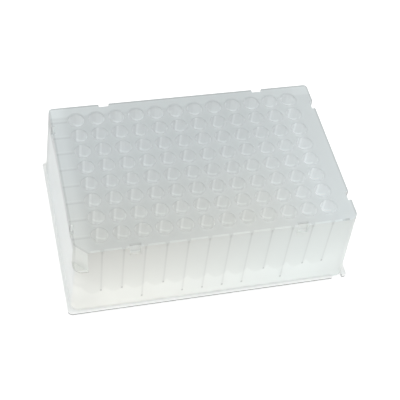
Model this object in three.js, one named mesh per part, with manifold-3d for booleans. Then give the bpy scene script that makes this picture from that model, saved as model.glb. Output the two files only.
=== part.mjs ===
// A deep-well plate: a rack of round-bottomed tubes under one flat deck, inside a skirt that it
// stands on. The real plate is injection moulded from polypropylene in one shot, so it is one solid
// here too.
//
// Units are millimetres and +Z is up. The origin is the middle of the footprint, on the surface that
// the plate stands on. Columns of wells follow one another along X and rows along Y.

import * as THREE from 'three'
import { ConvexGeometry } from 'three/addons/geometries/ConvexGeometry.js'
import { mergeVertices } from 'three/addons/utils/BufferGeometryUtils.js'
import Module from 'manifold-3d'

const wasm = await Module()
wasm.setup()

// ---------------------------------------------------------------- driving dimensions

// the grid of wells
const COLUMNS = 12
const ROWS = 8
const PITCH = 9
const END_MARGIN = 14.38 // from the centre of the first column to the end of the footprint
const SIDE_MARGIN = 11.24 // from the centre of the first row to the side of the footprint
const HEIGHT = 41.5

// the wells and their tubes
const MOUTH_RADIUS = 3.55
const FLOOR_RADIUS = 3.2 // where the round bottom begins
const TUBE_WALL = 0.65
const FLOOR_WALL = 0.8
const TUBE_GROUND_GAP = 3.2 // from the table to the lowest point of a tube

// the skirt and the deck
const DECK_THICKNESS = 1.6
const SKIRT_WALL = 1.2
const DRAFT_DEGREES = 2.3
const NEAR_CORNER_RADIUS = 3.8
const FAR_CORNER_RADIUS = 1.8

// the lip around the foot of the skirt
const LIP_WIDTH = 1.35
const LIP_HEIGHT = 1.15
const LIP_RADIUS = 2
const LIP_GAP_START = 2.4 // from the end of the footprint to the gap in the near lip
const LIP_GAP_LENGTH = 4.9

// the flat that marks one near corner, and the ledge it ends on
const CORNER_FLAT_ALONG = 5
const CORNER_FLAT_ACROSS = 5
const CORNER_FLAT_DROP = 12.7

// the pockets in the rim, midway between two lines of wells
const POCKET_LENGTH = 4.5
const POCKET_DEPTH = 1.5
const POCKET_DROP = 4.9
const POCKET_LINES_IN = 1.5 // lines of wells between the end line and the pocket

// the ribs that join each column of tubes, and the outer tubes to the skirt
const RIB_THICKNESS = 0.8
const RIB_GROUND_GAP = 13.8
const LONG_RIB_GROUND_GAP = 5.6
const LONG_RIB_COLUMNS = [3, 5, 6] // counted from either end

// how finely the round forms are cut
const WELL_SIDES = 10
const TUBE_SIDES = 8
const CORNER_STEPS = 2
const BOTTOM_FLAT = 0.45 // radius of a round bottom's lowest facet, as a share of its own radius

// ---------------------------------------------------------------- sizes that follow

const GRID_LENGTH = (COLUMNS - 1) * PITCH
const GRID_WIDTH = (ROWS - 1) * PITCH
const FOOT = new THREE.Vector2(GRID_LENGTH / 2 + END_MARGIN, GRID_WIDTH / 2 + SIDE_MARGIN)
const SKIRT = FOOT.clone().subScalar(LIP_WIDTH) // half sizes of the skirt at the table
const LEAN = Math.tan(THREE.MathUtils.degToRad(DRAFT_DEGREES))
const DECK = SKIRT.clone().subScalar(LEAN * HEIGHT) // half sizes of the deck
const DECK_UNDERSIDE = HEIGHT - DECK_THICKNESS
const BEYOND = 5 // how far a cutter runs past what it cuts

const columnX = (column) => column * PITCH - GRID_LENGTH / 2
const rowY = (row) => row * PITCH - GRID_WIDTH / 2
const columns = Array.from({ length: COLUMNS }, (_, column) => column)
const rows = Array.from({ length: ROWS }, (_, row) => row)

// ---------------------------------------------------------------- helpers

// A closed three.js geometry as a solid that can be joined and cut.
function solid(geometry) {
  geometry.deleteAttribute('normal')
  geometry.deleteAttribute('uv')
  const merged = mergeVertices(geometry)
  const vertProperties = new Float32Array(merged.attributes.position.array)
  const triVerts = new Uint32Array(merged.index.array)
  return new wasm.Manifold(new wasm.Mesh({ numProp: 3, vertProperties, triVerts }))
}

function joined(solids) {
  return solids.reduce((sum, next) => sum.add(next))
}

function cut(from, cutters) {
  return cutters.reduce((left, next) => left.subtract(next), from)
}

function geometryOf(result) {
  const { vertProperties, triVerts } = result.getMesh()
  const geometry = new THREE.BufferGeometry()
  geometry.setAttribute('position', new THREE.BufferAttribute(new Float32Array(vertProperties), 3))
  geometry.setIndex(new THREE.BufferAttribute(new Uint32Array(triVerts), 1))
  const flat = geometry.toNonIndexed()
  flat.computeVertexNormals()
  return flat
}

function block(low, high) {
  const size = high.clone().sub(low)
  const box = new THREE.BoxGeometry(size.x, size.y, size.z)
  return solid(box.translate(low.x + size.x / 2, low.y + size.y / 2, low.z + size.z / 2))
}

function prism(shape, bottom, top) {
  const options = { depth: top - bottom, bevelEnabled: false, curveSegments: CORNER_STEPS }
  return new THREE.ExtrudeGeometry(shape, options).translate(0, 0, bottom)
}

// A rectangle about the origin whose near corners (-Y) and far corners (+Y) are rounded.
function roundedOutline(half, nearRadius, farRadius) {
  const quarter = Math.PI / 2
  const outline = new THREE.Shape()
  outline.absarc(half.x - nearRadius, nearRadius - half.y, nearRadius, -quarter, 0)
  outline.absarc(half.x - farRadius, half.y - farRadius, farRadius, 0, quarter)
  outline.absarc(farRadius - half.x, half.y - farRadius, farRadius, quarter, 2 * quarter)
  outline.absarc(nearRadius - half.x, nearRadius - half.y, nearRadius, 2 * quarter, 3 * quarter)
  return outline
}

// The skirt's leaning form, taken in by an inset from its outer face.
function skirtForm(inset, bottom, top) {
  const half = SKIRT.clone().subScalar(inset)
  const near = Math.max(NEAR_CORNER_RADIUS - inset, inset)
  const far = Math.max(FAR_CORNER_RADIUS - inset, inset / 2)
  const form = prism(roundedOutline(half, near, far), bottom, top)
  const position = form.attributes.position
  for (let i = 0; i < position.count; i++) {
    const lean = LEAN * position.getZ(i)
    position.setX(i, position.getX(i) - Math.sign(position.getX(i)) * lean)
    position.setY(i, position.getY(i) - Math.sign(position.getY(i)) * lean)
  }
  return solid(form)
}

// A ring of points around the Z axis, at the corners of the polygon with the area of a circle.
function ring(circleRadius, z, sides) {
  const step = (2 * Math.PI) / sides
  const radius = circleRadius * Math.sqrt(step / Math.sin(step))
  return Array.from({ length: sides }, (_, side) => {
    const angle = (side + 0.5) * step
    return new THREE.Vector3(radius * Math.cos(angle), radius * Math.sin(angle), z)
  })
}

// An upright tapering round form that ends in a round bottom, flattened at its lowest spot.
function roundBottomed(topRadius, top, floorRadius, lowest, sides) {
  const spring = lowest + floorRadius
  return solid(new ConvexGeometry([
    ...ring(topRadius, top, sides),
    ...ring(floorRadius, spring, sides),
    ...ring(floorRadius * BOTTOM_FLAT, lowest, sides / 2),
  ]))
}

function atEveryWell(form) {
  return columns.flatMap((column) => rows.map((row) => form.translate([columnX(column), rowY(row), 0])))
}

// The same cutter at each end of a line and on both sides, by mirroring it.
function mirrored(form, [alongX, alongY]) {
  const pair = alongX ? [form, form.mirror([1, 0, 0])] : [form]
  return alongY ? pair.flatMap((each) => [each, each.mirror([0, 1, 0])]) : pair
}

// ---------------------------------------------------------------- the features

// The wedge outside the flat at the near -X corner; inset moves the flat into the plate.
// It is drawn at the +X corner and mirrored.
function cornerWedge(inset) {
  const along = new THREE.Vector2(DECK.x - CORNER_FLAT_ALONG, -DECK.y)
  const across = new THREE.Vector2(DECK.x, CORNER_FLAT_ACROSS - DECK.y)
  const way = across.clone().sub(along).normalize()
  const inward = new THREE.Vector2(-way.y, way.x).multiplyScalar(inset)
  const first = along.clone().addScaledVector(way, -2 * BEYOND).add(inward)
  const last = across.clone().addScaledVector(way, 2 * BEYOND).add(inward)
  const outer = new THREE.Vector2(last.x + BEYOND, first.y - BEYOND)
  const shape = new THREE.Shape([first, outer, last])
  const wedge = solid(prism(shape, HEIGHT - CORNER_FLAT_DROP - inset, HEIGHT + BEYOND))
  return wedge.mirror([1, 0, 0])
}

// A pocket in the rim of the +X end and one in the near rim; inset grows them for their backing.
function pockets(inset) {
  const half = POCKET_LENGTH / 2 + inset
  const bottom = HEIGHT - POCKET_DROP - inset
  const endY = GRID_WIDTH / 2 - (POCKET_LINES_IN - 1) * PITCH
  const sideX = GRID_LENGTH / 2 - POCKET_LINES_IN * PITCH
  const atEnd = block(
    new THREE.Vector3(DECK.x - POCKET_DEPTH - inset, endY - half, bottom),
    new THREE.Vector3(FOOT.x + BEYOND, endY + half, HEIGHT + BEYOND),
  )
  const atSide = block(
    new THREE.Vector3(sideX - half, -FOOT.y - BEYOND, bottom),
    new THREE.Vector3(sideX + half, POCKET_DEPTH + inset - DECK.y, HEIGHT + BEYOND),
  )
  return [...mirrored(atEnd, [true, true]), ...mirrored(atSide, [true, true])]
}

function skirtAndDeck() {
  const outside = cut(skirtForm(0, 0, HEIGHT), [cornerWedge(0), ...pockets(0)])
  const backing = [cornerWedge(SKIRT_WALL), ...pockets(SKIRT_WALL)]
  const inside = cut(skirtForm(SKIRT_WALL, -BEYOND, DECK_UNDERSIDE), backing)
  return { outside, inside }
}

// The lip that the footprint is measured over, with its gap near one end of the near side.
function lip() {
  const outline = roundedOutline(FOOT, LIP_RADIUS, LIP_RADIUS)
  const gapEnd = FOOT.x - LIP_GAP_START
  const gap = block(
    new THREE.Vector3(gapEnd - LIP_GAP_LENGTH, -FOOT.y - BEYOND, -BEYOND),
    new THREE.Vector3(gapEnd, 0, LIP_HEIGHT + BEYOND),
  )
  return cut(solid(prism(outline, 0, LIP_HEIGHT)), [gap])
}

// A rib under each column of wells, from the near side to the far side.
function columnRibs() {
  const half = RIB_THICKNESS / 2
  return columns.map((column) => block(
    new THREE.Vector3(columnX(column) - half, -FOOT.y, RIB_GROUND_GAP),
    new THREE.Vector3(columnX(column) + half, FOOT.y, DECK_UNDERSIDE),
  ))
}

// Some of them reach lower where they join the outer tubes to the long sides.
function longRibs() {
  const half = RIB_THICKNESS / 2
  const tubeSide = -GRID_WIDTH / 2 - FLOOR_RADIUS
  return LONG_RIB_COLUMNS.flatMap((number) => {
    const x = columnX(number - 1)
    const rib = block(
      new THREE.Vector3(x - half, -FOOT.y, LONG_RIB_GROUND_GAP),
      new THREE.Vector3(x + half, tubeSide, DECK_UNDERSIDE),
    )
    return mirrored(rib, [true, true])
  })
}

// Each row's last tubes are joined to the ends of the skirt.
function endRibs() {
  const half = RIB_THICKNESS / 2
  const tubeSide = GRID_LENGTH / 2 + FLOOR_RADIUS
  return rows.flatMap((row) => {
    const rib = block(
      new THREE.Vector3(tubeSide, rowY(row) - half, RIB_GROUND_GAP),
      new THREE.Vector3(FOOT.x, rowY(row) + half, DECK_UNDERSIDE),
    )
    return mirrored(rib, [true, false])
  })
}

// ---------------------------------------------------------------- the plate

function deepWellPlate() {
  const { outside, inside } = skirtAndDeck()
  const tube = roundBottomed(
    MOUTH_RADIUS + TUBE_WALL, DECK_UNDERSIDE, FLOOR_RADIUS + TUBE_WALL, TUBE_GROUND_GAP, TUBE_SIDES,
  )
  const well = roundBottomed(
    MOUTH_RADIUS, HEIGHT + BEYOND, FLOOR_RADIUS, TUBE_GROUND_GAP + FLOOR_WALL, WELL_SIDES,
  )
  const ribs = joined([...columnRibs(), ...longRibs(), ...endRibs()])
  const shell = joined([outside, lip()]).subtract(inside)
  const ribsInSkirt = ribs.intersect(skirtForm(SKIRT_WALL / 2, 0, HEIGHT))
  return cut(joined([shell, ribsInSkirt, ...atEveryWell(tube)]), atEveryWell(well))
}

const naturalPolypropylene = new THREE.MeshStandardMaterial({
  color: 0xd6dcd8,
  roughness: 0.35,
  metalness: 0,
})

const plate = new THREE.Mesh(geometryOf(deepWellPlate()), naturalPolypropylene)
plate.name = 'deep_well_plate'

const group = new THREE.Group()
group.add(plate)

export default group
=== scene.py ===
# %% [markdown]
# # A deep-well plate
# A deep-well plate holds small liquid samples in rows of round wells. The real one is a single
# moulding of natural polypropylene: a flat deck, a tube hanging below each hole in it, and a
# skirt all round that carries the whole thing on a bench. The plastic is milky and lets some
# light through, so the tubes and ribs inside show faintly on the skirt. This lesson loads the
# measured solid, models its fine surface over it, and then gives it that milky look, with much
# of its light and shade painted into the colour and the glow.

import math

import bmesh
import bpy
from mathutils import Matrix, Vector


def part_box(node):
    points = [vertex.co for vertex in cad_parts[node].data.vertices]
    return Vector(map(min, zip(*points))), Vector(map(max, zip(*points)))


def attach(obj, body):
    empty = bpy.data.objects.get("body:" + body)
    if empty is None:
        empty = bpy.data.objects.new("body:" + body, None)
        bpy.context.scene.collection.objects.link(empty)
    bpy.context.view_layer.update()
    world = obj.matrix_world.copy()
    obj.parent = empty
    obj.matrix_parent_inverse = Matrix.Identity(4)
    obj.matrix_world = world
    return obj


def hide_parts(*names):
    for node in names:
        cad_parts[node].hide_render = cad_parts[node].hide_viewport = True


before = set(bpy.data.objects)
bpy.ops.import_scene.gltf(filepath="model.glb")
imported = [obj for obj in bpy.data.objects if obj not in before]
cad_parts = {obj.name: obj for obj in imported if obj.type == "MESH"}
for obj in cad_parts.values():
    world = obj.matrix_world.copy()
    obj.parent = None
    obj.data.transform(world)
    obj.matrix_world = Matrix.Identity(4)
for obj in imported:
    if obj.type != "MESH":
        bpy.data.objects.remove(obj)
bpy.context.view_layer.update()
NODE = "deep_well_plate"
MM = 0.001  # sizes below are in millimetres, and Blender's are in metres
CM = 0.01
low, high = (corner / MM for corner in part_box(NODE))
print("the plate measures", [round(size, 2) for size in high - low], "mm")

# %% [markdown]
# ## The sizes
# The outer size comes from the frame. The rest are the sizes that the mould maker would write
# down: the pitch between wells, the walls, the draft that lets the part leave the mould, and
# the radii.

# %% Name the sizes
FOOT = Vector((high.x, high.y))  # half of the footprint
HEIGHT = high.z
PITCH = 9
COLUMNS = 12
ROWS = 8
FIRST_WELL = Vector((-(COLUMNS - 1) * PITCH / 2, -(ROWS - 1) * PITCH / 2))

MOUTH_RADIUS = 3.55
FLOOR_RADIUS = 3.2
TUBE_WALL = 0.65
TUBE_BOTTOM = 3.2
FLOOR_WALL = 0.8
WELL_BOTTOM = TUBE_BOTTOM + FLOOR_WALL
LEAD_IN = 0.22  # the width of the slope round a well's mouth

DECK_THICKNESS = 1.6
DECK_UNDERSIDE = HEIGHT - DECK_THICKNESS
SKIRT_WALL = 1.2
DRAFT_DEGREES = 2.3
LEAN = math.tan(math.radians(DRAFT_DEGREES))
NEAR_RADIUS = 3.8
FAR_RADIUS = 1.8

LIP_WIDTH = 1.35
LIP_HEIGHT = 1.15
LIP_RADIUS = 2
LIP_GAP_START = 2.4
LIP_GAP_LENGTH = 4.9
SKIRT = FOOT - Vector((LIP_WIDTH, LIP_WIDTH))  # half of the skirt at the bench
DECK = SKIRT - Vector((HEIGHT * LEAN, HEIGHT * LEAN))  # half of the deck

FLAT_ALONG = 5
FLAT_ACROSS = 5
FLAT_DROP = 12.7
POCKET_LENGTH = 4.5
POCKET_DEPTH = 1.5
POCKET_DROP = 4.9
LINES_IN = 1.5  # lines of wells between the end line and a pocket
POCKET_AT = -FIRST_WELL - Vector((LINES_IN * PITCH, (LINES_IN - 1) * PITCH))

RIB_THICKNESS = 0.8
RIB_END = 13.8
LONG_RIB_END = 5.6
LONG_RIB_COLUMNS = [3, 5, 6]  # counted from either end

EDGE_ROUND = 0.22  # the round-over on the skirt's edges
LIP_ROUND = 0.2
LEAST_RADIUS = 0.6  # the sharpest upright corner inside the skirt

BEYOND = 5  # how far a cutting tool runs past what it cuts
print("the deck measures", [round(2 * half, 1) for half in DECK], "mm")

# %% [markdown]
# ## One plastic, seven finishes
# The whole plate is one plastic, but light reaches its surfaces in different ways: the skirt is
# seen against the bench, the deck against the tubes below it, and a well against its
# neighbours. So each kind of surface gets a finish of its own, a lit and shaded copy of the one
# plastic, named here and painted near the end with the light and shade that falls on it. When
# one piece cuts another, the new faces keep the cutter's finish. So every tool below is made
# with the finish of the surface that it leaves behind.

# %% Name the finishes
FINISHES = {
    name: bpy.data.materials.new(f"polypropylene_{name}")
    for name in ("skirt", "corner", "pocket", "lip", "deck", "well", "inside")
}
print("finishes:", ", ".join(FINISHES))

# %% [markdown]
# ## The helpers
# Modelling here goes as it would by hand: add a primitive, select something on it, move or
# bevel it, and cut one piece with another. A script has to do the selecting in code, so these
# helpers pick vertices or edges by where they are.

# %% Helpers for selecting and placing
def only(piece):
    """Selects one object and makes it the active one."""
    bpy.ops.object.select_all(action="DESELECT")
    piece.select_set(True)
    bpy.context.view_layer.objects.active = piece


def pick(piece, kind, wanted):
    """Opens a piece in edit mode with the vertices, edges or faces selected that are wanted."""
    only(piece)
    bpy.ops.object.mode_set(mode="EDIT")
    bpy.ops.mesh.select_mode(type=kind)
    bpy.ops.mesh.select_all(action="DESELECT")
    mesh = bmesh.from_edit_mesh(piece.data)
    for element in {"VERT": mesh.verts, "EDGE": mesh.edges, "FACE": mesh.faces}[kind]:
        element.select = wanted(element)
    mesh.select_flush_mode()
    bmesh.update_edit_mesh(piece.data)


def done():
    """Leaves edit mode."""
    bpy.ops.object.mode_set(mode="OBJECT")


def add_block(name, finish, first, last, turn=0):
    """A box between two corners given in millimetres, turned about its own middle."""
    bpy.ops.object.select_all(action="DESELECT")
    middle = (Vector(first) + Vector(last)) / 2
    bpy.ops.mesh.primitive_cube_add(size=1, location=middle * MM, rotation=(0, 0, turn))
    block = bpy.context.active_object
    block.name = name
    block.scale = (Vector(last) - Vector(first)) * MM
    block.data.materials.append(FINISHES[finish])
    bpy.ops.object.transform_apply(location=True, rotation=True, scale=True)
    return block


print("helpers so far: only, pick, done and add_block")

# %% [markdown]
# ## Repeating and cutting
# A modifier is a change that Blender works out anew each time until it is applied. Here every
# one is applied at once, so the next step can select what it made. Two closed pieces are joined
# or cut by the Boolean modifier. Its manifold solver is quick, and it keeps the result closed.

# %% Helpers for repeating and cutting
def apply_modifier(piece, kind, **settings):
    """Adds one modifier to a piece, sets it up and applies it."""
    only(piece)
    bpy.ops.object.modifier_add(type=kind)
    modifier = piece.modifiers[-1]
    for name, value in settings.items():
        setattr(modifier, name, value)
    bpy.ops.object.modifier_apply(modifier=modifier.name)


def repeat(piece, count, step):
    """Copies a piece along a line, with the copies in the same mesh."""
    apply_modifier(
        piece,
        "ARRAY",
        count=count,
        use_relative_offset=False,
        use_constant_offset=True,
        constant_offset_displace=Vector(step) * MM,
    )


def combine(piece, tool, operation):
    """Joins a tool to a piece, cuts it away, or keeps what they share. The tool is used up."""
    apply_modifier(
        piece,
        "BOOLEAN",
        operation=operation,
        object=tool,
        solver="MANIFOLD",
        material_mode="TRANSFER",
    )
    bpy.data.objects.remove(tool)


def describe(piece):
    """Prints a piece's number of faces, how many of its edges are open, and its volume."""
    mesh = bmesh.new()
    mesh.from_mesh(piece.data)
    open_edges = sum(not edge.is_manifold for edge in mesh.edges)
    volume = mesh.calc_volume() / CM**3
    mesh.free()
    faces = len(piece.data.polygons)
    print(f"{piece.name}: {faces} faces, {open_edges} open edges, {volume:.1f} ml")


print("and apply_modifier, repeat, combine and describe")

# %% [markdown]
# ## The skirt and the deck
# A moulded box leans inwards, so that it slides off its core. It starts as a plain block, its
# top is drawn in, and its four upright edges are rounded, the two near ones more than the two
# far ones.

# %% A leaning block with rounded corners
ROUND_STEPS = 6
UPRIGHT_SHARE = 0.9  # how much of an edge's length has to be height


def leaning_block(name, finish, inset, bottom, top):
    """The skirt's form, taken in by an inset from its outer face."""
    foot = SKIRT - Vector((inset, inset)) - Vector((bottom, bottom)) * LEAN
    head = SKIRT - Vector((inset, inset)) - Vector((top, top)) * LEAN
    block = add_block(name, finish, (-foot.x, -foot.y, bottom), (foot.x, foot.y, top))
    middle = (bottom + top) / 2 * MM
    pick(block, "VERT", lambda vertex: vertex.co.z > middle)
    bpy.ops.transform.resize(
        value=(head.x / foot.x, head.y / foot.y, 1), center_override=(0, 0, top * MM)
    )
    done()
    for radius, side in ((NEAR_RADIUS, -1), (FAR_RADIUS, 1)):
        round_uprights(block, max(radius - inset, LEAST_RADIUS), lambda place: place.y * side > 0)
    return block


def round_uprights(block, radius, wanted):
    """Rounds the upright edges of a block whose middles are wanted."""
    def upright(edge):
        first, second = (vertex.co for vertex in edge.verts)
        rise = abs(first.z - second.z)
        is_upright = rise > UPRIGHT_SHARE * (first - second).length
        return is_upright and wanted((first + second) / 2)

    pick(block, "EDGE", upright)
    bpy.ops.mesh.bevel(offset=radius * MM, segments=ROUND_STEPS, affect="EDGES")
    done()


plate = leaning_block("deep_well_moulding", "skirt", 0, 0, HEIGHT)
describe(plate)

# %% [markdown]
# ## The corner flat and the rim's pockets
# The near left corner is cut off flat over the top third, which shows which way round the plate
# is, and the flat ends on a small ledge. The rim has eight small pockets, two on each side,
# where a robot's gripper or a lid can catch. The same shapes, grown by the wall's thickness,
# are later left standing inside the skirt, so that there is a wall behind the flat and behind
# each pocket.

# %% Corner flat and rim pockets
def corner_flat(inset, finish):
    """The block outside the near left corner's flat."""
    along = Vector((FLAT_ALONG - DECK.x, -DECK.y))
    across = Vector((-DECK.x, FLAT_ACROSS - DECK.y))
    way = (along - across).normalized()
    outward = Vector((way.y, -way.x))
    middle = (along + across) / 2 + outward * (BEYOND - inset)
    reach = Vector((2 * BEYOND, BEYOND))
    return add_block(
        "corner_flat",
        finish,
        (middle.x - reach.x, middle.y - reach.y, HEIGHT - FLAT_DROP - inset),
        (middle.x + reach.x, middle.y + reach.y, HEIGHT + BEYOND),
        turn=math.atan2(way.y, way.x),
    )


def rim_pockets(inset, finish):
    """The blocks that fill the eight pockets."""
    half = POCKET_LENGTH / 2 + inset
    bottom = HEIGHT - POCKET_DROP - inset
    depth = POCKET_DEPTH + inset
    pockets = []
    for side in (-1, 1):
        for place in (-1, 1):
            x = sorted((side * (DECK.x - depth), side * (FOOT.x + BEYOND)))
            y = place * POCKET_AT.y
            pockets.append(((x[0], y - half, bottom), (x[1], y + half, HEIGHT + BEYOND)))
            x = place * POCKET_AT.x
            y = sorted((side * (DECK.y - depth), side * (FOOT.y + BEYOND)))
            pockets.append(((x - half, y[0], bottom), (x + half, y[1], HEIGHT + BEYOND)))
    return [add_block("rim_pocket", finish, *corners) for corners in pockets]


SHARP_TURN = 0.7  # in radians
EDGE_STEPS = 2


def round_sharp_edges(piece, width):
    """Rounds every edge of a piece that turns sharply."""
    limit = {"limit_method": "ANGLE", "angle_limit": SHARP_TURN}
    apply_modifier(piece, "BEVEL", width=width * MM, segments=EDGE_STEPS, **limit)


for tool in [corner_flat(0, "corner"), *rim_pockets(0, "pocket")]:
    combine(plate, tool, "DIFFERENCE")
round_sharp_edges(plate, EDGE_ROUND)
describe(plate)

# %% [markdown]
# ## The lip
# The footprint of every such plate is the same, and it is measured over this lip. It is a thin
# slab with rounded corners, and it has a gap near the right end of the near side.

# %% Add the lip
lip = add_block("lip", "lip", (-FOOT.x, -FOOT.y, 0), (FOOT.x, FOOT.y, LIP_HEIGHT))
round_uprights(lip, LIP_RADIUS, lambda place: True)
round_sharp_edges(lip, LIP_ROUND)
gap_end = FOOT.x - LIP_GAP_START
gap = add_block(
    "lip_gap",
    "lip",
    (gap_end - LIP_GAP_LENGTH, -FOOT.y - BEYOND, -BEYOND),
    (gap_end, -FOOT.y + BEYOND, LIP_HEIGHT + BEYOND),
)
combine(lip, gap, "DIFFERENCE")
combine(plate, lip, "UNION")
describe(plate)

# %% [markdown]
# ## The hollow inside
# The mould's core makes the hollow. It is the skirt's own form, one wall smaller, up to the
# deck's underside, less what stands behind the flat and the pockets.

# %% Hollow the skirt
core = leaning_block("core", "inside", SKIRT_WALL, -BEYOND, DECK_UNDERSIDE)
for tool in [corner_flat(SKIRT_WALL, "inside"), *rim_pockets(SKIRT_WALL, "inside")]:
    combine(core, tool, "DIFFERENCE")
combine(plate, core, "DIFFERENCE")
describe(plate)

# %% [markdown]
# ## The ribs
# Thin ribs join each column of tubes and tie the outer tubes to the skirt. Most end well above
# the bench, and a few on the long sides reach lower. They are made as long plates that are
# trimmed to the middle of the skirt's wall.

# %% Add the ribs
def trimmed(rib):
    """Keeps the part of a rib that lies within the middle of the skirt's wall."""
    trim = leaning_block("trim", "inside", SKIRT_WALL / 2, 0, HEIGHT - DECK_THICKNESS / 2)
    combine(rib, trim, "INTERSECT")
    return rib


half_rib = RIB_THICKNESS / 2
column_ribs = add_block(
    "column_ribs",
    "inside",
    (FIRST_WELL.x - half_rib, -FOOT.y, RIB_END),
    (FIRST_WELL.x + half_rib, FOOT.y, HEIGHT),
)
repeat(column_ribs, COLUMNS, (PITCH, 0, 0))
combine(plate, trimmed(column_ribs), "UNION")

for side in (-1, 1):
    inner = side * (-FIRST_WELL.x + FLOOR_RADIUS)
    x = sorted((inner, side * FOOT.x))
    end_ribs = add_block(
        "end_ribs",
        "inside",
        (x[0], FIRST_WELL.y - half_rib, RIB_END),
        (x[1], FIRST_WELL.y + half_rib, HEIGHT),
    )
    repeat(end_ribs, ROWS, (0, PITCH, 0))
    combine(plate, trimmed(end_ribs), "UNION")
    for number in LONG_RIB_COLUMNS:
        for end in (-1, 1):
            x = end * (FIRST_WELL.x + (number - 1) * PITCH)
            y = sorted((side * (-FIRST_WELL.y + FLOOR_RADIUS), side * FOOT.y))
            long_rib = add_block(
                "long_rib",
                "inside",
                (x - half_rib, y[0], LONG_RIB_END),
                (x + half_rib, y[1], HEIGHT),
            )
            combine(plate, trimmed(long_rib), "UNION")
describe(plate)

# %% [markdown]
# ## The tubes and the wells
# A tube and the well inside it are two round forms on one axis. Each is drawn from a circle:
# the rim is extruded downwards and scaled ring by ring, first down the tapering wall and then
# round the bottom. One of each is made at the first well, then repeated along the columns and
# the rows, and all the tubes are joined on before all the wells are cut.

# %% A round form with a round bottom
SEGMENTS = 28
BOTTOM_RINGS = 5


def round_form(name, finish, rings, bottom_radius, bottom):
    """Extrudes a circle down through rings, as (radius, height) pairs, and rounds its bottom."""
    spring = bottom + bottom_radius
    for step in range(1, BOTTOM_RINGS):
        angle = math.radians(90) * step / BOTTOM_RINGS
        drop = bottom_radius * math.sin(angle)
        rings = rings + [(bottom_radius * math.cos(angle), spring - drop)]
    radius, height = rings[0]
    bpy.ops.object.select_all(action="DESELECT")
    bpy.ops.mesh.primitive_circle_add(
        vertices=SEGMENTS,
        radius=radius * MM,
        fill_type="NGON",
        location=(FIRST_WELL.x * MM, FIRST_WELL.y * MM, height * MM),
    )
    form = bpy.context.active_object
    form.name = name
    form.data.materials.append(FINISHES[finish])
    bpy.ops.object.transform_apply(location=True, rotation=True, scale=True)
    bpy.ops.object.mode_set(mode="EDIT")
    bpy.ops.mesh.select_all(action="SELECT")
    for wider, narrower in zip(rings, rings[1:]):
        drop = (narrower[1] - wider[1]) * MM
        bpy.ops.mesh.extrude_region_move(TRANSFORM_OT_translate={"value": (0, 0, drop)})
        share = narrower[0] / wider[0]
        bpy.ops.transform.resize(
            value=(share, share, 1),
            center_override=(FIRST_WELL.x * MM, FIRST_WELL.y * MM, narrower[1] * MM),
        )
    drop = (bottom - rings[-1][1]) * MM
    bpy.ops.mesh.extrude_region_move(TRANSFORM_OT_translate={"value": (0, 0, drop)})
    bpy.ops.mesh.merge(type="CENTER")
    bpy.ops.mesh.select_all(action="SELECT")
    bpy.ops.mesh.normals_make_consistent(inside=False)
    done()
    return form


def at_every_well(form):
    """Repeats a form along the columns and then along the rows."""
    repeat(form, COLUMNS, (PITCH, 0, 0))
    repeat(form, ROWS, (0, PITCH, 0))
    return form


tube = round_form(
    "tubes",
    "inside",
    [
        (MOUTH_RADIUS + TUBE_WALL, DECK_UNDERSIDE + DECK_THICKNESS / 2),
        (FLOOR_RADIUS + TUBE_WALL, TUBE_BOTTOM + FLOOR_RADIUS + TUBE_WALL),
    ],
    FLOOR_RADIUS + TUBE_WALL,
    TUBE_BOTTOM,
)
describe(tube)
combine(plate, at_every_well(tube), "UNION")

well = round_form(
    "wells",
    "well",
    [
        (MOUTH_RADIUS + LEAD_IN, HEIGHT + BEYOND),
        (MOUTH_RADIUS + LEAD_IN, HEIGHT),
        (MOUTH_RADIUS, HEIGHT - LEAD_IN),
        (FLOOR_RADIUS, WELL_BOTTOM + FLOOR_RADIUS),
    ],
    FLOOR_RADIUS,
    WELL_BOTTOM,
)
describe(well)
combine(plate, at_every_well(well), "DIFFERENCE")
describe(plate)

# %% [markdown]
# ## Smooth shading
# Round forms should shade as curves and flat ones as flats. Shading smooth by angle keeps every
# edge sharp that turns more than the angle. Weighting the normals by the size of the faces then
# keeps a big wall flat right up to its rounded corner. The deck's top came with the same block
# as the skirt, so it still has the skirt's finish. It is picked by its place and given its own,
# with the small lead-in round each well.

# %% Shade the plate
SMOOTH_DEGREES = 35
LEAST_UPWARD = 0.3  # of a face's normal, for it to belong to the deck
ROUND_OVER = 0.25  # how far below the top the deck's finish reaches


def on_top(face):
    """True for the deck's upper face, the round-over at its edge and the wells' lead-ins."""
    at_top = face.calc_center_median().z > (HEIGHT - ROUND_OVER) * MM
    return at_top and face.normal.z > LEAST_UPWARD


only(plate)
bpy.ops.object.shade_smooth_by_angle(angle=math.radians(SMOOTH_DEGREES))
apply_modifier(plate, "WEIGHTED_NORMAL", keep_sharp=True)
names = [material.name for material in plate.data.materials]
print("finishes on the plate:", names)
if FINISHES["deck"].name not in names:
    plate.data.materials.append(FINISHES["deck"])
pick(plate, "FACE", on_top)
plate.active_material_index = list(plate.data.materials).index(FINISHES["deck"])
bpy.ops.object.material_slot_assign()
done()
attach(plate, "root")
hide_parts(NODE)

# %% [markdown]
# ## Shader maths as formulas
# A painted mark is a mask: a number that is 1 on the mark and 0 off it. In a node tree that
# takes a chain of Math nodes, which is hard to read. Python lets a class say what `+` and `*`
# mean for it, so here a node's output is wrapped in one, and each sign adds its own Math node.

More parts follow.
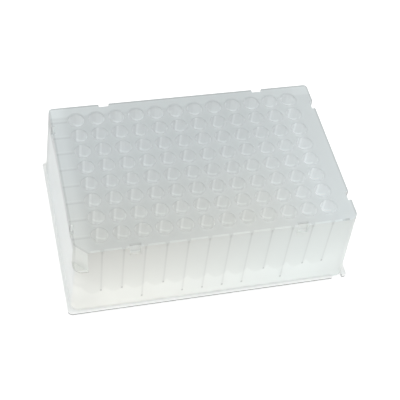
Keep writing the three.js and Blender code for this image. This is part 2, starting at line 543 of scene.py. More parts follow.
# %% A socket that understands arithmetic
class Value:
    """A node's output. Arithmetic on it adds Math nodes, so a mask reads as a formula."""

    def __init__(self, finish, socket):
        self.finish = finish
        self.socket = socket

    def __add__(self, other):
        return self.finish.math("ADD", self, other)

    def __sub__(self, other):
        return self.finish.math("SUBTRACT", self, other)

    def __rsub__(self, other):
        return self.finish.math("SUBTRACT", other, self)

    def __mul__(self, other):
        return self.finish.math("MULTIPLY", self, other)

    def __truediv__(self, other):
        return self.finish.math("DIVIDE", self, other)

    def __pow__(self, other):
        return self.finish.math("POWER", self, other)

    def __abs__(self):
        return self.finish.math("ABSOLUTE", self)

    __radd__ = __add__
    __rmul__ = __mul__

    def rises(self, low, high):
        """0 up to low, 1 from high on, and a smooth slope between them."""
        return self.finish.node(
            "ShaderNodeMapRange",
            {"interpolation_type": "SMOOTHSTEP"},
            {"Value": self, "From Min": low, "From Max": high},
        )

    def falls(self, low, high):
        """1 up to low, 0 from high on."""
        return 1 - self.rises(low, high)

    def near(self, place, half, soft=0.25):
        """1 within half a width of a place, fading to 0 over a soft edge."""
        return abs(self - place).falls(half, half + soft)


print("a value understands + - * / ** and abs, and can rise, fall or lie near a place")

# %% [markdown]
# ## A finish and its nodes
# Every finish knows where it is on the plate, in millimetres, and how far it is from the
# nearest column and row of wells. So one mark, drawn once, repeats at every well. The plastic's
# milkiness comes from three things: a pale colour, some transmission, and a faint glow of the
# same colour that stands for the light scattered inside the wall.

# %% The finish class
class Finish:
    """One finish's node tree, with the place on the plate in millimetres."""

    def __init__(self, name, **numbers):
        self.name = name
        material = FINISHES[name]
        material.use_nodes = True
        self.tree = material.node_tree
        self.shader = self.tree.nodes["Principled BSDF"]
        self.plug(self.shader, {key.replace("_", " "): value for key, value in numbers.items()})
        place = self.node("ShaderNodeTexCoord", output="Object")
        scale = {"Vector": place, "Scale": 1 / MM}
        place = self.node("ShaderNodeVectorMath", {"operation": "SCALE"}, scale)
        self.x, self.y, self.z = (
            self.node("ShaderNodeSeparateXYZ", inputs={"Vector": place}, output=axis)
            for axis in "XYZ"
        )
        self.across = self.from_nearest(self.x - FIRST_WELL.x, COLUMNS)  # from a column of wells
        self.along = self.from_nearest(self.y - FIRST_WELL.y, ROWS)  # from a row of wells

    def node(self, kind, settings=None, inputs=None, output=0):
        """Adds a node: first its settings, then the values or links of its sockets."""
        node = self.tree.nodes.new(kind)
        for name, setting in (settings or {}).items():
            setattr(node, name, setting)
        self.plug(node, inputs or {})
        outputs = {socket.identifier: socket for socket in node.outputs}
        return Value(self, node.outputs[output] if output == 0 else outputs[output])

    def plug(self, node, inputs):
        """Links a value to a node's socket, or sets the socket where it is a plain number."""
        sockets = {socket.identifier: socket for socket in node.inputs}
        for name, given in inputs.items():
            if isinstance(given, Value):
                self.tree.links.new(given.socket, sockets[name])
            elif sockets[name].type == "RGBA":
                sockets[name].default_value = (*given, 1)
            else:
                sockets[name].default_value = given

    def math(self, operation, first, second=0.0):
        numbers = {"Value": first, "Value_001": second}
        return self.node("ShaderNodeMath", {"operation": operation}, numbers)

    def from_nearest(self, distance, count):
        """A distance taken from the nearest of a number of places one pitch apart."""
        place = self.math("ROUND", distance / PITCH)
        place = self.math("MINIMUM", self.math("MAXIMUM", place, 0), count - 1)
        return distance - PITCH * place

    def mix(self, share, first, second):
        """Goes from the first colour to the second as the share goes from 0 to 1."""
        colours = {"Factor_Float": share, "A_Color": first, "B_Color": second}
        settings = {"data_type": "RGBA"}
        return self.node("ShaderNodeMix", settings, colours, output="Result_Color")

    def lit(self, hue, tone):
        """A hue at the brightness that tone gives."""
        scale = {"Vector": hue, "Scale": tone}
        return self.node("ShaderNodeVectorMath", {"operation": "SCALE"}, scale)

    def surface(self, hue, tone, glow):
        """Colours the surface, and lets it glow by a share of the same colour."""
        colour = self.lit(hue, tone)
        self.plug(self.shader, {"Base Color": colour, "Emission Color": self.lit(colour, glow)})
        print(f"the {self.name} finish has {len(self.tree.nodes)} nodes")


PLASTIC = {"IOR": 1.4, "Emission_Strength": 1.0}
WALL = {**PLASTIC, "Roughness": 0.32, "Transmission_Weight": 0.35}
print("the walls' numbers:", WALL)

# %% [markdown]
# ## The hues
# Natural polypropylene is a milky white. On this plate the light tints it, and these tints are
# painted into the hues: a little bluish at the back and on the right, where light comes through
# the thin plastic, and a little yellowish at the near left, where the bench sends light back onto
# it. Each hue is given relative to its own green, so that multiplying it by a tone gives a colour
# of that brightness. Two hues of one surface are mixed by a slope along the plate. A pair of
# numbers tells between which places, in millimetres, the slope lies.

# %% Hues of the plastic
DECK_COOL = (0.935, 1.0, 1.01)
DECK_WARM = (0.985, 1.0, 0.94)
WELL_COOL = (0.965, 1.0, 1.01)
WELL_WARM = (0.995, 1.0, 0.955)
LONG_WALL_COOL = (0.955, 1.0, 0.98)
LONG_WALL_WARM = (1.0, 1.0, 0.95)
END_WALL_NEAR = (0.975, 1.0, 0.98)
END_WALL_FAR = (0.95, 1.0, 1.0)
CORNER_HUE = (0.98, 1.0, 0.955)
LIP_HUE = (0.98, 1.0, 0.99)
INSIDE_HUE = (0.96, 1.0, 0.99)
print("hues, relative to green:", DECK_COOL, "for the deck and", LIP_HUE, "for the lip")

# %% Where one hue gives way to another
WALL_TURN = (DECK.y - 2, DECK.y - 0.2)  # a long wall begins where an end wall turns the corner
WALL_SLOPE_X = (-50, 50)
WALL_SLOPE_Y = (-38, 30)
TOP_SLOPE_X = (15, 55)
TOP_SLOPE_Y = (-40, 16)
print("the top cools from the near left over", TOP_SLOPE_X, "and", TOP_SLOPE_Y, "mm")


def on_long_side(finish):
    """1 on the near and far walls, 0 on the end walls."""
    return abs(finish.y).rises(*WALL_TURN)


def wall_hue(finish):
    """Painted tints of light: long walls warmer to the left, end walls cooler to the back."""
    long_hue = finish.mix(finish.x.falls(*WALL_SLOPE_X), LONG_WALL_COOL, LONG_WALL_WARM)
    end_hue = finish.mix(finish.y.rises(*WALL_SLOPE_Y), END_WALL_NEAR, END_WALL_FAR)
    return finish.mix(on_long_side(finish), end_hue, long_hue)


def top_hue(finish, warmth, cool, warm):
    """A painted tint: deck and wells turn warmer to the near left, by a share that warmth gives.
    """
    near_left = finish.y.falls(*TOP_SLOPE_Y) * finish.x.falls(*TOP_SLOPE_X)
    return finish.mix(warmth * near_left, cool, warm)


# %% [markdown]
# ## The light under the tubes
# The skirt is one thin wall with the tubes and ribs behind it. Below the round bottoms of the
# tubes the most light comes through, so the light part of a long wall ends upwards in a row of
# arches. The shade of each tube falls a little to the left of it. An arch is drawn as a
# parabola between two such shades, with a limit to how far it rises.

# %% The arches
ARCH_SHIFT = 3.4  # how far to the left of a tube its shade falls
ARCH_BOTTOM = 11.4
ARCH_TOP = 17.4
ARCH_SOFTNESS = 2
ARCH_CURVE = 0.2  # how fast an arch rises away from the middle of a shade
ARCH_FADE = (42, 56)  # there are none at the right end
print("the arches rise from", ARCH_BOTTOM, "mm to", ARCH_TOP, "mm above the bench")


def arches(skirt):
    """1 in the light below the tubes, 0 above it."""
    off_shade = skirt.from_nearest(skirt.x - FIRST_WELL.x + ARCH_SHIFT, COLUMNS)
    rise = skirt.math("MINIMUM", ARCH_CURVE * off_shade**2, ARCH_TOP - ARCH_BOTTOM)
    arch = (skirt.z - rise).falls(ARCH_BOTTOM, ARCH_BOTTOM + ARCH_SOFTNESS)
    return arch * skirt.x.falls(*ARCH_FADE)


# %% [markdown]
# ## The long walls' tone
# A long wall is darkest at the top, where the deck keeps light out, and grows lighter
# downwards. At its foot it is lighter still, with a thin dark line where it meets the lip. The
# two ends differ a little. Each light or shade is a mask times a strength, and all of them are
# added. Three numbers for a mark are its middle, half of its width and its soft edge.

# %% The ends of the long walls
RIGHT_END = (55, 59)
RIGHT_END_HEIGHT = (38, 42)
RIGHT_END_SHADE = 0.03
LEFT_FOOT = (-58, -44)
LEFT_FOOT_HEIGHT = (8, 18)
LEFT_FOOT_SHADE = 0.05
LEFT_EDGE = (-60, -54)
LEFT_EDGE_HEIGHT = (25, 3, 3)
LEFT_EDGE_LIGHT = 0.04
print("the left foot's shade fades out at", LEFT_FOOT_HEIGHT[1], "mm above the bench")


def long_wall_ends(skirt):
    """How much the long walls' ends are lighter than the rest; a shade is negative."""
    right_end = skirt.x.rises(*RIGHT_END) * skirt.z.falls(*RIGHT_END_HEIGHT)
    left_foot = skirt.x.falls(*LEFT_FOOT) * skirt.z.falls(*LEFT_FOOT_HEIGHT)
    left_edge = skirt.x.falls(*LEFT_EDGE) * skirt.z.near(*LEFT_EDGE_HEIGHT)
    shade = RIGHT_END_SHADE * right_end + LEFT_FOOT_SHADE * left_foot
    return LEFT_EDGE_LIGHT * left_edge - shade


# %% The long walls
LONG_WALL_TONE = 0.637  # at LIGHTER_FROM, from which the wall grows lighter downwards
LIGHTER_FROM = 38
LIGHTER_FOR = 24
LIGHTER_BY = 0.0054  # for each millimetre
LEVEL_HEIGHT = 8  # the wall grows lighter to the right above this height, and darker below it
RIGHTWARDS = 0.000033
ARCH_LIGHT = 0.045
LONG_FOOT = (1.5, 6)
LONG_FOOT_LIGHT = 0.045
JUNCTION = (1.4, 2.2)  # the height of the line where the wall meets the lip
JUNCTION_SLOPE = 0.012
JUNCTION_SHADE = 0.07
print("a long wall's tone is", LONG_WALL_TONE)


def long_wall_tone(skirt):
    """The brightness of the near and far walls."""
    down = skirt.math("MINIMUM", LIGHTER_FROM - skirt.z, LIGHTER_FOR)
    to_the_right = (skirt.z - LEVEL_HEIGHT) * skirt.x
    junction = (skirt.z + JUNCTION_SLOPE * skirt.x).falls(*JUNCTION)
    foot = LONG_FOOT_LIGHT * skirt.z.falls(*LONG_FOOT) - JUNCTION_SHADE * junction
    light = ARCH_LIGHT * arches(skirt) + foot + long_wall_ends(skirt)
    return LONG_WALL_TONE + LIGHTER_BY * down + RIGHTWARDS * to_the_right + light


# %% [markdown]
# ## The end walls' tone
# An end wall has a band of painted shade under the deck, which reaches lower at the back, and
# it is painted darker towards its far corner. Nothing marks the tubes on it.

# %% The shades of the end walls
BAND_DROP = 4  # how much lower the band reaches at the back
BAND_DROP_SLOPE = (5, 40)
BAND = (36.5, 38.4)
BAND_TOP = (39.4, 40.4)
BAND_TOP_SHARE = 0.25  # how much darker the band is at its top
BAND_SHADE = 0.29
BAND_FADE = 0.06  # how much weaker it is at the far corner
FAR_CORNER = (28, 36)
FAR_CORNER_SHADE = 0.15
FAR_EDGE = (35.5, 37)
FAR_EDGE_SHADE = 0.06
FAR_EDGE_UPPER = (28, 38)
FAR_EDGE_UPPER_SHADE = 0.12
NEAR_SPOT = (-25, 5, 4)
NEAR_SPOT_HEIGHT = (34, 39)
NEAR_SPOT_SHADE = 0.1
print("the band under the deck begins at", BAND[0], "mm above the bench")


def end_wall_shade(skirt):
    """By what share the end walls are darker than plain."""
    height = skirt.z + BAND_DROP * skirt.y.rises(*BAND_DROP_SLOPE)
    band = height.rises(*BAND) + BAND_TOP_SHARE * height.rises(*BAND_TOP)
    far_corner = skirt.y.rises(*FAR_CORNER)
    far_upper = FAR_EDGE_UPPER_SHADE * skirt.z.rises(*FAR_EDGE_UPPER)
    far_edge = skirt.y.rises(*FAR_EDGE) * (FAR_EDGE_SHADE + far_upper)
    near_spot = skirt.y.near(*NEAR_SPOT) * skirt.z.rises(*NEAR_SPOT_HEIGHT)
    shade = (BAND_SHADE - BAND_FADE * far_corner) * band
    return shade + FAR_CORNER_SHADE * far_corner + far_edge + NEAR_SPOT_SHADE * near_spot


# %% The end walls
END_WALL_TONE = 0.662
DARKER_TO_BACK = 0.0014  # for each millimetre
OVER_FOOT = (14, 24)
OVER_FOOT_SHADE = 0.022
END_FOOT = (1.5, 5)
END_FOOT_LIGHT = 0.04
print("an end wall's tone is", END_WALL_TONE)


def end_wall_tone(skirt):
    """The brightness of the end walls."""
    over_foot = OVER_FOOT_SHADE * skirt.z.rises(*OVER_FOOT)
    plain = END_WALL_TONE - over_foot - DARKER_TO_BACK * skirt.y
    return plain * (1 - end_wall_shade(skirt)) + END_FOOT_LIGHT * skirt.z.falls(*END_FOOT)


# %% [markdown]
# ## The ribs' shade
# Each rib shows through the long wall as a thin dark line, with a darker spot at its lower end
# and another where it meets the deck. The line is drawn from the rib's own place and length, so
# it stays on the rib.

# %% The ribs on the skirt
RIB_SHIFT = -0.35  # a line shows a little to the left of the rib's middle
NEXT_RIB_GAP = 0.3
RIB_LINE = (RIB_SHIFT, 0.12, 0.5)
RIB_LINE_START = (-0.15, 0.15)  # measured from the rib's lower end
RIB_LINE_SHADE = 0.09
RIB_UPPER = (26, 38)
RIB_UPPER_SHADE = 0.04
RIB_FOOT = (RIB_SHIFT, 0.25, 0.3)
RIB_FOOT_HEIGHT = (0.4, 0.4, 0.4)
RIB_FOOT_SHADE = 0.24
RIB_HEAD = (RIB_SHIFT, 0.3, 0.9)
RIB_HEAD_HEIGHT = (HEIGHT - 2.6, HEIGHT - 1.2)
RIB_HEAD_SHADE = 0.08
AMONG_WELLS = (0, 54, 0.5)
print("a rib's line ends", RIB_END, "mm above the bench, and a long one's", LONG_RIB_END, "mm")


def rib_end_height(skirt):
    """The height of the lower end of the nearest column's rib."""
    is_long = 0
    for number in LONG_RIB_COLUMNS:
        for place in (number - 1, COLUMNS - number):
            column = FIRST_WELL.x + place * PITCH
            is_long = skirt.x.near(column, PITCH / 2 - NEXT_RIB_GAP) + is_long
    return RIB_END - (RIB_END - LONG_RIB_END) * is_long


def rib_shade(skirt):
    """By what share the ribs darken the long walls."""
    over_end = skirt.z - rib_end_height(skirt)
    strength = RIB_LINE_SHADE + RIB_UPPER_SHADE * skirt.z.rises(*RIB_UPPER)
    line = strength * skirt.across.near(*RIB_LINE) * over_end.rises(*RIB_LINE_START)
    foot = RIB_FOOT_SHADE * skirt.across.near(*RIB_FOOT) * over_end.near(*RIB_FOOT_HEIGHT)
    head = RIB_HEAD_SHADE * skirt.across.near(*RIB_HEAD) * skirt.z.rises(*RIB_HEAD_HEIGHT)
    return on_long_side(skirt) * skirt.x.near(*AMONG_WELLS) * (line + foot + head)


# %% [markdown]
# ## The skirt
# The two walls' tones meet at the corners, and the ribs' shade is taken off. Under the ledge of
# the corner's flat runs a thin dark line, which lies beyond the plane of the flat.

# %% Paint the skirt
FLAT_FIRST = Vector((FLAT_ALONG - DECK.x, -DECK.y))  # the end of the flat on the long side
FLAT_WAY = Vector((FLAT_ALONG, FLAT_ACROSS)).normalized()
FLAT_LENGTH = Vector((FLAT_ALONG, FLAT_ACROSS)).length
LEDGE = HEIGHT - FLAT_DROP
LEDGE_LINE = (-0.3, -0.1)
LEDGE_LINE_HEIGHT = (LEDGE - 0.3, 0.2, 0.15)
LEDGE_LINE_SHADE = 0.25
WALL_GLOW = 0.15
print("the corner's ledge lies", round(LEDGE, 1), "mm above the bench")


def beyond_flat(finish):
    """How far a place lies outside the plane of the corner's flat."""
    return (FLAT_FIRST.x - finish.x) * FLAT_WAY.y - (finish.y - FLAT_FIRST.y) * FLAT_WAY.x


skirt = Finish("skirt", **WALL)
on_long = on_long_side(skirt)
tone = end_wall_tone(skirt) * (1 - on_long) + long_wall_tone(skirt) * on_long
line = beyond_flat(skirt).rises(*LEDGE_LINE) * skirt.z.near(*LEDGE_LINE_HEIGHT)
tone = tone * (1 - rib_shade(skirt) - LEDGE_LINE_SHADE * line)
skirt.surface(wall_hue(skirt), tone, WALL_GLOW)

# %% [markdown]
# ## The corner's flat
# The flat is part of the same wall. It is shaded along its upright edge on the end wall's side
# and at its top. Its ledge glows more, is light along the front and dark along the side.

# %% Paint the corner
CORNER_TONE = 0.685
UPRIGHT = (FLAT_LENGTH - 1.5, FLAT_LENGTH - 0.9)  # measured along the flat
UPRIGHT_HEIGHT = (25, 40)
UPRIGHT_SHADE = 0.16
FLAT_TOP = (HEIGHT - 0.5, HEIGHT - 0.3)
FLAT_TOP_SHADE = 0.12
ON_LEDGE = (LEDGE + 0.1, LEDGE + 0.2)
FRONT_RIM = (-0.1, 0.5)
FRONT_RIM_LIGHT = 0.2
SIDE_RIM = (0.1, 0.6)
SIDE_RIM_SHADE = 0.16
LEDGE_GLOW = 0.15

corner = Finish("corner", **WALL)
place = (FLAT_FIRST.x - corner.x) * FLAT_WAY.x + (corner.y - FLAT_FIRST.y) * FLAT_WAY.y
upright = place.rises(*UPRIGHT) * corner.z.rises(*UPRIGHT_HEIGHT)
ledge = corner.z.falls(*ON_LEDGE)
front_rim = FRONT_RIM_LIGHT * ledge * (DECK.y + corner.y).falls(*FRONT_RIM)
side_rim = SIDE_RIM_SHADE * ledge * (DECK.x + corner.x).falls(*SIDE_RIM)
shade = UPRIGHT_SHADE * upright + FLAT_TOP_SHADE * corner.z.rises(*FLAT_TOP) + side_rim
tone = CORNER_TONE * (1 - shade + front_rim)
corner.surface(CORNER_HUE, tone, WALL_GLOW + LEDGE_GLOW * ledge)

# %% [markdown]
# ## The pockets
# A pocket in a long wall is about as dark as the top of that wall. It has a dark line right
# under the deck, and its floor is lighter with a faint dark line along the front. A pocket in
# an end wall is lighter inside and dark where it runs out to the wall. Both kinds have one
# finish, and the distance from the end wall tells which tone holds.

# %% The pockets' tones
POCKET_FLOOR = HEIGHT - POCKET_DROP
ON_FLOOR = (POCKET_FLOOR + 0.1, POCKET_FLOOR + 0.2)
LONG_POCKET_TONE = 0.68
LONG_POCKET_SLOPE = 0.0008  # for each millimetre to the right
FLOOR_LIGHT = 0.15
CHEEK = (1.1, 1.3)  # the pocket's two sides, measured in from the wall
CHEEK_LIGHT = 0.02
TOP_LINE = (HEIGHT - 1.1, HEIGHT - 0.7)
TOP_LINE_SHADE = 0.3
FRONT_LINE = (0.5, 0.9)
FRONT_LINE_SHADE = 0.1
END_POCKET_TONE = 0.82
RUN_OUT = (0.3, 0.6)
RUN_OUT_SHADE = 0.4
END_FLOOR_SHADE = 0.2
POCKET_BACK = (1.3, 1.45)
POCKET_BACK_SHADE = 0.16
print("a pocket's floor lies", round(POCKET_FLOOR, 1), "mm above the bench")


def long_pocket_tone(pocket, on_floor):
    """The brightness inside a pocket of a long wall."""
    depth = DECK.y - abs(pocket.y)
    cheek = depth.falls(*CHEEK) * (1 - on_floor)
    top_line = TOP_LINE_SHADE * pocket.z.rises(*TOP_LINE) * (1 - cheek)
    front_line = FRONT_LINE_SHADE * on_floor * depth.falls(*FRONT_LINE)
    light = FLOOR_LIGHT * on_floor + CHEEK_LIGHT * cheek - top_line - front_line
    return (LONG_POCKET_TONE + LONG_POCKET_SLOPE * pocket.x) * (1 + light)


def end_pocket_tone(pocket, on_floor):
    """The brightness inside a pocket of an end wall."""
    depth = DECK.x - abs(pocket.x)
    run_out = RUN_OUT_SHADE * depth.falls(*RUN_OUT) * (1 - on_floor)
    back = POCKET_BACK_SHADE * depth.rises(*POCKET_BACK)
    return END_POCKET_TONE * (1 - run_out - END_FLOOR_SHADE * on_floor - back)


# %% Paint the pockets
END_POCKETS = (1.8, 2.2)  # how far in from the end wall they reach
POCKET_GLOW = 0.2
POCKET_FLOOR_GLOW = 0.06

pocket = Finish("pocket", **WALL)
on_floor = pocket.z.falls(*ON_FLOOR)
at_end = (DECK.x - abs(pocket.x)).falls(*END_POCKETS)
long_part = long_pocket_tone(pocket, on_floor) * (1 - at_end)
tone = long_part + end_pocket_tone(pocket, on_floor) * at_end
pocket.surface(wall_hue(pocket), tone, POCKET_GLOW + POCKET_FLOOR_GLOW * on_floor)

# %% [markdown]
# ## The lip
# The lip is the rail on which the plate stands. It is light on top, where the sky falls on it,
# and dark on its thin outer side, close to the floor. On the long sides both are stronger, and
# the top is darker again right beside the wall.

# %% Paint the lip
LIP_TONE = 0.76
LIP_SIDE = (0.8, 0.95)
LIP_SIDE_SHADE = 0.08
ON_LONG_LIP = (-0.5, 0.0)
LONG_LIP_LIGHT = 0.22
LONG_LIP_SIDE_SHADE = 0.58
BESIDE_WALL = (0.3, 0.7)
BESIDE_WALL_SHADE = 0.2
LIP_GLOW = 0.15
LONG_LIP_GLOW = 0.07

lip_finish = Finish("lip", **WALL)
from_wall = abs(lip_finish.y) - SKIRT.y
on_long = from_wall.rises(*ON_LONG_LIP)
side = lip_finish.z.falls(*LIP_SIDE)
beside = BESIDE_WALL_SHADE * from_wall.falls(*BESIDE_WALL) * on_long
side_shade = (LIP_SIDE_SHADE + LONG_LIP_SIDE_SHADE * on_long) * side
tone = LIP_TONE + LONG_LIP_LIGHT * on_long - beside - side_shade
lip_finish.surface(LIP_HUE, tone, LIP_GLOW + LONG_LIP_GLOW * on_long * (1 - side))

# %% [markdown]
# ## The inside's finish
# Nothing is painted inside the skirt. It only has the plastic's colour, and it lets more light
# through than the walls do, so that light from below can reach them.

# %% Paint the inside
INSIDE = {"Roughness": WALL["Roughness"], "IOR": PLASTIC["IOR"], "Transmission_Weight": 0.5}

inside = Finish("inside", **INSIDE)
inside.plug(inside.shader, {"Base Color": INSIDE_HUE})
print("the inside finish is plain:", INSIDE_HUE)

# %% [markdown]
# ## The deck's tone
# Between the wells the deck is backed by the tubes below it, and looks darker. In the margins
# beyond the outermost wells nothing is behind it but the hollow skirt, and it is lighter there.
# It is lightest towards the near right corner.

# %% The deck's tone
DECK_TONE = 0.622
OFF_TUBES = (3.9, 4.7)  # measured from a well's axis
LEFT_MARGIN = (-58, -51.5)
LEFT_MARGIN_LIGHT = 0.11
RIGHT_MARGIN = (51.5, 54)
RIGHT_MARGIN_LIGHT = 0.03
FAR_MARGIN = (33.0, 34.5)
FAR_MARGIN_LIGHT = 0.055
FAR_LEFT = (-45, -25)
FAR_LEFT_LIGHT = 0.035
NEAR_MARGIN = (-38.5, -34.5)
NEAR_MARGIN_LIGHT = 0.02
print("the deck's tone is", DECK_TONE)


def distance_from_axis(finish):
    """How far a place is from the axis of the nearest well."""
    return (finish.across**2 + finish.along**2) ** 0.5


def deck_margins(deck):
    """How much lighter the deck is beyond the outermost wells."""
    left = LEFT_MARGIN_LIGHT * deck.x.falls(*LEFT_MARGIN)
    right = RIGHT_MARGIN_LIGHT * deck.x.rises(*RIGHT_MARGIN)
    far_light = FAR_MARGIN_LIGHT + FAR_LEFT_LIGHT * deck.x.falls(*FAR_LEFT)
    far = far_light * deck.y.rises(*FAR_MARGIN)
    near = NEAR_MARGIN_LIGHT * deck.y.falls(*NEAR_MARGIN)
    return (left + right + far + near) * distance_from_axis(deck).rises(*OFF_TUBES)


# %% The deck's slow changes
TO_THE_CORNER = (-20, 75)
CORNER_TILT = 0.7  # how much a place's y counts against its x
CORNER_LIGHT = 0.11
NEAR_RIGHT_X = (50, 53)
NEAR_RIGHT_Y = (-30, -5)
NEAR_RIGHT_LIGHT = 0.02
FAINT_BAND = (28, 9, 9)
FAINT_BAND_SHADE = 0.012
print("the near right corner is lighter by", CORNER_LIGHT)


def deck_tone(deck):
    """The brightness of the deck without its marks."""
    to_the_corner = CORNER_LIGHT * (deck.x - CORNER_TILT * deck.y).rises(*TO_THE_CORNER)
    near_right = NEAR_RIGHT_LIGHT * deck.x.rises(*NEAR_RIGHT_X) * deck.y.falls(*NEAR_RIGHT_Y)
    band = FAINT_BAND_SHADE * deck.x.near(*FAINT_BAND)
    return DECK_TONE + to_the_corner + deck_margins(deck) + near_right - band


# %% [markdown]
# ## Painted light and shade round the wells
# Each well's near rim throws a thin painted shade on the deck, and a small painted highlight, a
# reflection from the fillet under the deck seen through it, lies between a well and the next
# row. In the left margin, a rib under each row shows as a dark line of painted shade with a
# painted glint beside it.

# %% The deck's marks
DASH_ALONG = (0.3, 0.2, 0.3)
DASH_ACROSS = (-1.1, 1.2, 0.5)
DASH_LIGHT = 0.035
RIM_RADIUS = (3.75, 0.2, 0.2)
RIM_WAY = Vector((-0.1, -0.995))  # the side of a rim on which its shade lies
RIM_SPAN = (0.75, 0.92)
RIM_SHADE = 0.05
ROW_LINES_X = (-54.2, -52.8)
ROW_LINE = (-0.75, 0.25, 0.35)
ROW_LINE_SHADE = 0.09
ROW_GLINT = (0.5, 0.15, 0.3)
ROW_GLINT_LIGHT = 0.04
print("a rim's shade lies", RIM_RADIUS[0], "mm from the well's axis")


def deck_marks(deck):
    """How much the painted light and shade marks lighten the deck; a shade is negative."""
    between_rows = deck.from_nearest(deck.y - FIRST_WELL.y + PITCH / 2, ROWS)
    dash = DASH_LIGHT * between_rows.near(*DASH_ALONG) * deck.across.near(*DASH_ACROSS)
    radius = distance_from_axis(deck)
    to_the_front = (deck.across * RIM_WAY.x + deck.along * RIM_WAY.y) / radius
    rim = RIM_SHADE * radius.near(*RIM_RADIUS) * to_the_front.rises(*RIM_SPAN)
    row_line = ROW_LINE_SHADE * deck.along.near(*ROW_LINE)
    row_glint = ROW_GLINT_LIGHT * deck.along.near(*ROW_GLINT)
    return dash - rim + deck.x.falls(*ROW_LINES_X) * (row_glint - row_line)


# %% [markdown]
# ## Edges of the deck
# The round-over at the deck's rim faces sideways, so it is darker than the deck along the ends,
# the back and the corner's flat. Along the front it is light, and broken where a rib meets it.

# %% The deck's edges
SIDE_EDGE = (0.6, 1.0)  # the edges are measured in from the deck's outline
SIDE_EDGE_SHADE = 0.16
BACK_EDGE = (0.7, 1.1)
BACK_EDGE_SHADE = 0.22
FLAT_EDGE = (-0.8, -0.5)
FLAT_EDGE_SHADE = 0.1
FRONT_EDGE = (0.7, 1.0)
FRONT_EDGE_LIGHT = 0.14
OFF_RIB = (0.7, 1.1)
FRONT_EDGE_SPAN = (0, 54, 1)
SHORT_MARK = (55, 1.5, 0.3)  # a dark dash on the front edge's right end
SHORT_MARK_SHADE = 0.25
AT_POCKET = (POCKET_AT.x, POCKET_LENGTH / 2 + 0.2, 0.3)
POCKET_EDGE = (0, 0.5, 0.3)
POCKET_EDGE_SHADE = 0.08
print("the front edge is lighter by", FRONT_EDGE_LIGHT)


def deck_edges(deck):
    """How much the edges lighten the deck; a shade is negative."""
    side = SIDE_EDGE_SHADE * (DECK.x - abs(deck.x)).falls(*SIDE_EDGE)
    back = BACK_EDGE_SHADE * (DECK.y - deck.y).falls(*BACK_EDGE)
    flat = FLAT_EDGE_SHADE * beyond_flat(deck).rises(*FLAT_EDGE)
    front = (DECK.y + deck.y).falls(*FRONT_EDGE)
    short = SHORT_MARK_SHADE * front * deck.x.near(*SHORT_MARK)
    off_rib = abs(deck.across - RIB_SHIFT).rises(*OFF_RIB) * deck.x.near(*FRONT_EDGE_SPAN)
    behind = (deck.y + DECK.y - POCKET_DEPTH).near(*POCKET_EDGE)
    pocket = POCKET_EDGE_SHADE * abs(deck.x).near(*AT_POCKET) * behind
    return FRONT_EDGE_LIGHT * front * off_rib - side - back - flat - short - pocket


# %% Paint the deck
DECK_SURFACE = {**PLASTIC, "Roughness": 0.35, "Transmission_Weight": 0.15}
DECK_WARMTH = 0.6
DECK_GLOW = 0

deck = Finish("deck", **DECK_SURFACE)
tone = deck_tone(deck) * (1 + deck_marks(deck) + deck_edges(deck))
deck.surface(top_hue(deck, DECK_WARMTH, DECK_COOL, DECK_WARM), tone, DECK_GLOW)

# %% [markdown]
# ## The painted light in the wells
# Light is painted as if it came in over the near rim of a well from the front left. The edge of
# that light on the far wall lies in a slanting plane through the middle of the mouth, and there a
# soft painted light hook is seen. A narrow upright streak of painted light stands on the far
# wall as well, where a web joins it from behind, and the wall right under the rim is painted a
# little darker on both sides of it. The last row's wells have no streak.

# %% The light in a well
FAR_SIDE = (0.5, 1.5)
STREAK = (-0.35, 0.3, 0.45)
STREAK_ROWS = (27, 28)
STREAK_LIGHT = 0.15
PLANE = Vector((0.816, 2.256))  # how far the plane drops for each millimetre across and along
HOOK_HEIGHT = (0.9, 0.35, 0.45)
HOOK_LEFT = (-1.2, -0.4)
HOOK_RIGHT = (2.7, 3.3)
HOOK_LIGHT = 0.18
print("the plane drops", round(PLANE.length, 2), "mm for each millimetre across a well")


def over_plane(well):
    """How far a place lies over the plane of the light's edge."""
    return well.z - HEIGHT + PLANE.x * well.across + PLANE.y * well.along


def streak_mask(well):
    """1 on the upright streak, 0 off it."""
    far_side = well.along.rises(*FAR_SIDE)
    return far_side * well.across.near(*STREAK) * well.y.falls(*STREAK_ROWS)


def hook_mask(well):
    """1 on the light hook, 0 off it."""
    middle = well.across.rises(*HOOK_LEFT) * well.across.falls(*HOOK_RIGHT)
    return over_plane(well).near(*HOOK_HEIGHT) * well.along.rises(*FAR_SIDE) * middle


# %% The rest of a well
LOW = (1, 6)  # measured over the slanting plane
LOW_LIGHT = 0.05
UNDER_RIM = (HEIGHT - 1.2, HEIGHT - 0.7)
UNDER_RIM_SIDE = (-0.5, 0.8)
UNDER_RIM_SHADE = 0.075
RIGHT_SIDE_START = (0, 0.8)
RIGHT_SIDE_END = (2.8, 3.3)
RIGHT_SIDE_LIGHT = 0.07
LEFT_SIDE = (-1.5, -0.6)
LEFT_SIDE_SHADE = 0.04
print("a well's right side is lighter by", RIGHT_SIDE_LIGHT)


def well_light(well):
    """How much lighter or darker than its own tone a place in a well glows."""
    streak = streak_mask(well)
    marks = STREAK_LIGHT * streak + HOOK_LIGHT * hook_mask(well)
    low = LOW_LIGHT * over_plane(well).falls(*LOW)
    under_rim = well.z.rises(*UNDER_RIM) * well.along.rises(*UNDER_RIM_SIDE)
    right = well.across.rises(*RIGHT_SIDE_START) * well.across.falls(*RIGHT_SIDE_END)
    sides = RIGHT_SIDE_LIGHT * right - LEFT_SIDE_SHADE * well.across.falls(*LEFT_SIDE)
    return marks + low + sides - UNDER_RIM_SHADE * under_rim * (1 - streak)
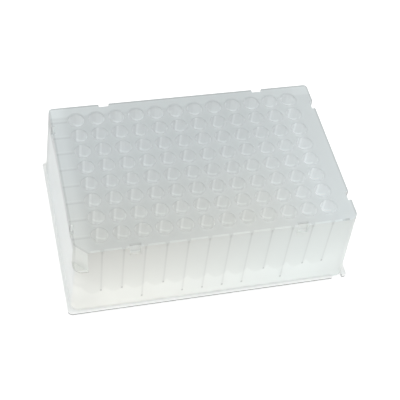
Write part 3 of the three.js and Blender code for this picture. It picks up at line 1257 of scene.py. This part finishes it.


# %% [markdown]
# ## The wells' tone
# Each well also gets painted light and shade by its place on the plate. The lightest lie at the
# right and at the front, and the last row is lighter than the one before it.

# %% The wells' tone
WELL_TONE = 0.607
TO_THE_RIGHT = (0, 50)
TO_THE_RIGHT_LIGHT = 0.05
NEAR_ROWS = (-30, -5)
NEAR_ROWS_FROM = (-40, -10)
NEAR_ROWS_LIGHT = 0.022
LAST_ROW = (27, 28)
LAST_ROW_LIGHT = 0.031
FAR_RIGHT_X = (5, 25)
FAR_RIGHT_Y = (0, 20)
FAR_RIGHT_SHADE = 0.022
COLUMNS_9_10 = (27, 8, 6)
COLUMNS_9_10_SHADE = 0.006
LAST_COLUMN = (44, 48)
LAST_COLUMN_ROWS = (27, 29)
LAST_COLUMN_LIGHT = 0.03
FIRST_COLUMN = (-46, -44)
FIRST_COLUMN_LIGHT = 0.01
MIDDLE_COLUMNS = (-3, 16, 8)
MIDDLE_COLUMNS_SHADE = 0.007
print("the wells' tone is", WELL_TONE)


def well_tone(well):
    """The wells' painted light and shade, by column and row."""
    x, y = well.x, well.y
    near_rows = NEAR_ROWS_LIGHT * y.falls(*NEAR_ROWS) * x.rises(*NEAR_ROWS_FROM)
    rows = near_rows + LAST_ROW_LIGHT * y.rises(*LAST_ROW)
    last = LAST_COLUMN_LIGHT * x.rises(*LAST_COLUMN) * y.falls(*LAST_COLUMN_ROWS)
    columns = TO_THE_RIGHT_LIGHT * x.rises(*TO_THE_RIGHT) + last
    columns = columns + FIRST_COLUMN_LIGHT * x.falls(*FIRST_COLUMN)
    shade = FAR_RIGHT_SHADE * y.rises(*FAR_RIGHT_Y) * x.rises(*FAR_RIGHT_X)
    shade = shade + COLUMNS_9_10_SHADE * x.near(*COLUMNS_9_10)
    shade = shade + MIDDLE_COLUMNS_SHADE * x.near(*MIDDLE_COLUMNS)
    return WELL_TONE + rows + columns - shade


# %% Paint the wells
WELL_SURFACE = {**PLASTIC, "Roughness": 0.35, "Transmission_Weight": 0.3}
WELL_WARMTH = 0.7
OWN_SHARE = 0.74  # of the tone that the surface's own colour gives; the glow adds to it
# The glow is painted light, standing for the light that the plastic scatters into the wells.
WELL_GLOW = 0.575

well = Finish("well", **WELL_SURFACE)
hue = top_hue(well, WELL_WARMTH, WELL_COOL, WELL_WARM)
well.surface(hue, OWN_SHARE * well_tone(well), WELL_GLOW + well_light(well))

# %% [markdown]
# ## The studio
# The plate stands on a plain pale floor under an even white sky, which lights it softly from
# all round, as a light tent does for small products. The floor glows a little, so that it stays
# as pale as the sky.

# %% Floor and light
FLOOR_SIZE = 6  # in metres, so that its edge is out of sight
WHITE = (1, 1, 1, 1)
PALE = (0.93, 0.93, 0.93, 1)
FLOOR_LOOK = {"Base Color": PALE, "Roughness": 0.8}
FLOOR_GLOW = {"Emission Color": WHITE, "Emission Strength": 0.3}
SKY_LOOK = {"Color": WHITE, "Strength": 1.0}

bpy.ops.object.select_all(action="DESELECT")
bpy.ops.mesh.primitive_plane_add(size=FLOOR_SIZE, location=(0, 0, 0))
floor = bpy.context.active_object
floor.name = "floor"
floor_finish = bpy.data.materials.new("pale_floor")
floor_finish.use_nodes = True
for name, value in {**FLOOR_LOOK, **FLOOR_GLOW}.items():
    floor_finish.node_tree.nodes["Principled BSDF"].inputs[name].default_value = value
floor.data.materials.append(floor_finish)

world = bpy.data.worlds.new("studio")
bpy.context.scene.world = world
world.use_nodes = True
for name, value in SKY_LOOK.items():
    world.node_tree.nodes["Background"].inputs[name].default_value = value
print("the floor and the sky are white")

# %% [markdown]
# ## The camera
# The camera looks down over the near left corner with a long lens, so that both the rows of
# wells and the near wall can be seen. It is turned a little about its own line of sight.

# %% Camera
CAMERA_AT = Vector((-96.5, -261.4, 371.5)) * MM
CAMERA_AIM = Vector((1.12, -4.58, 20.35)) * MM
CAMERA_ROLL = math.radians(9.88)
CAMERA_LENS = 89.05
CAMERA_SENSOR = 36

bpy.ops.object.camera_add(location=CAMERA_AT)
camera = bpy.context.active_object
camera.data.lens = CAMERA_LENS
camera.data.sensor_width = CAMERA_SENSOR
gaze = (CAMERA_AIM - CAMERA_AT).to_track_quat("-Z", "Y").to_euler().to_matrix()
camera.rotation_euler = (gaze @ Matrix.Rotation(CAMERA_ROLL, 3, "Z")).to_euler()
bpy.context.scene.camera = camera
bpy.context.scene.view_settings.view_transform = "Standard"
distance = (CAMERA_AIM - CAMERA_AT).length / MM
print("the camera stands", round(distance), "mm from the middle of the plate")
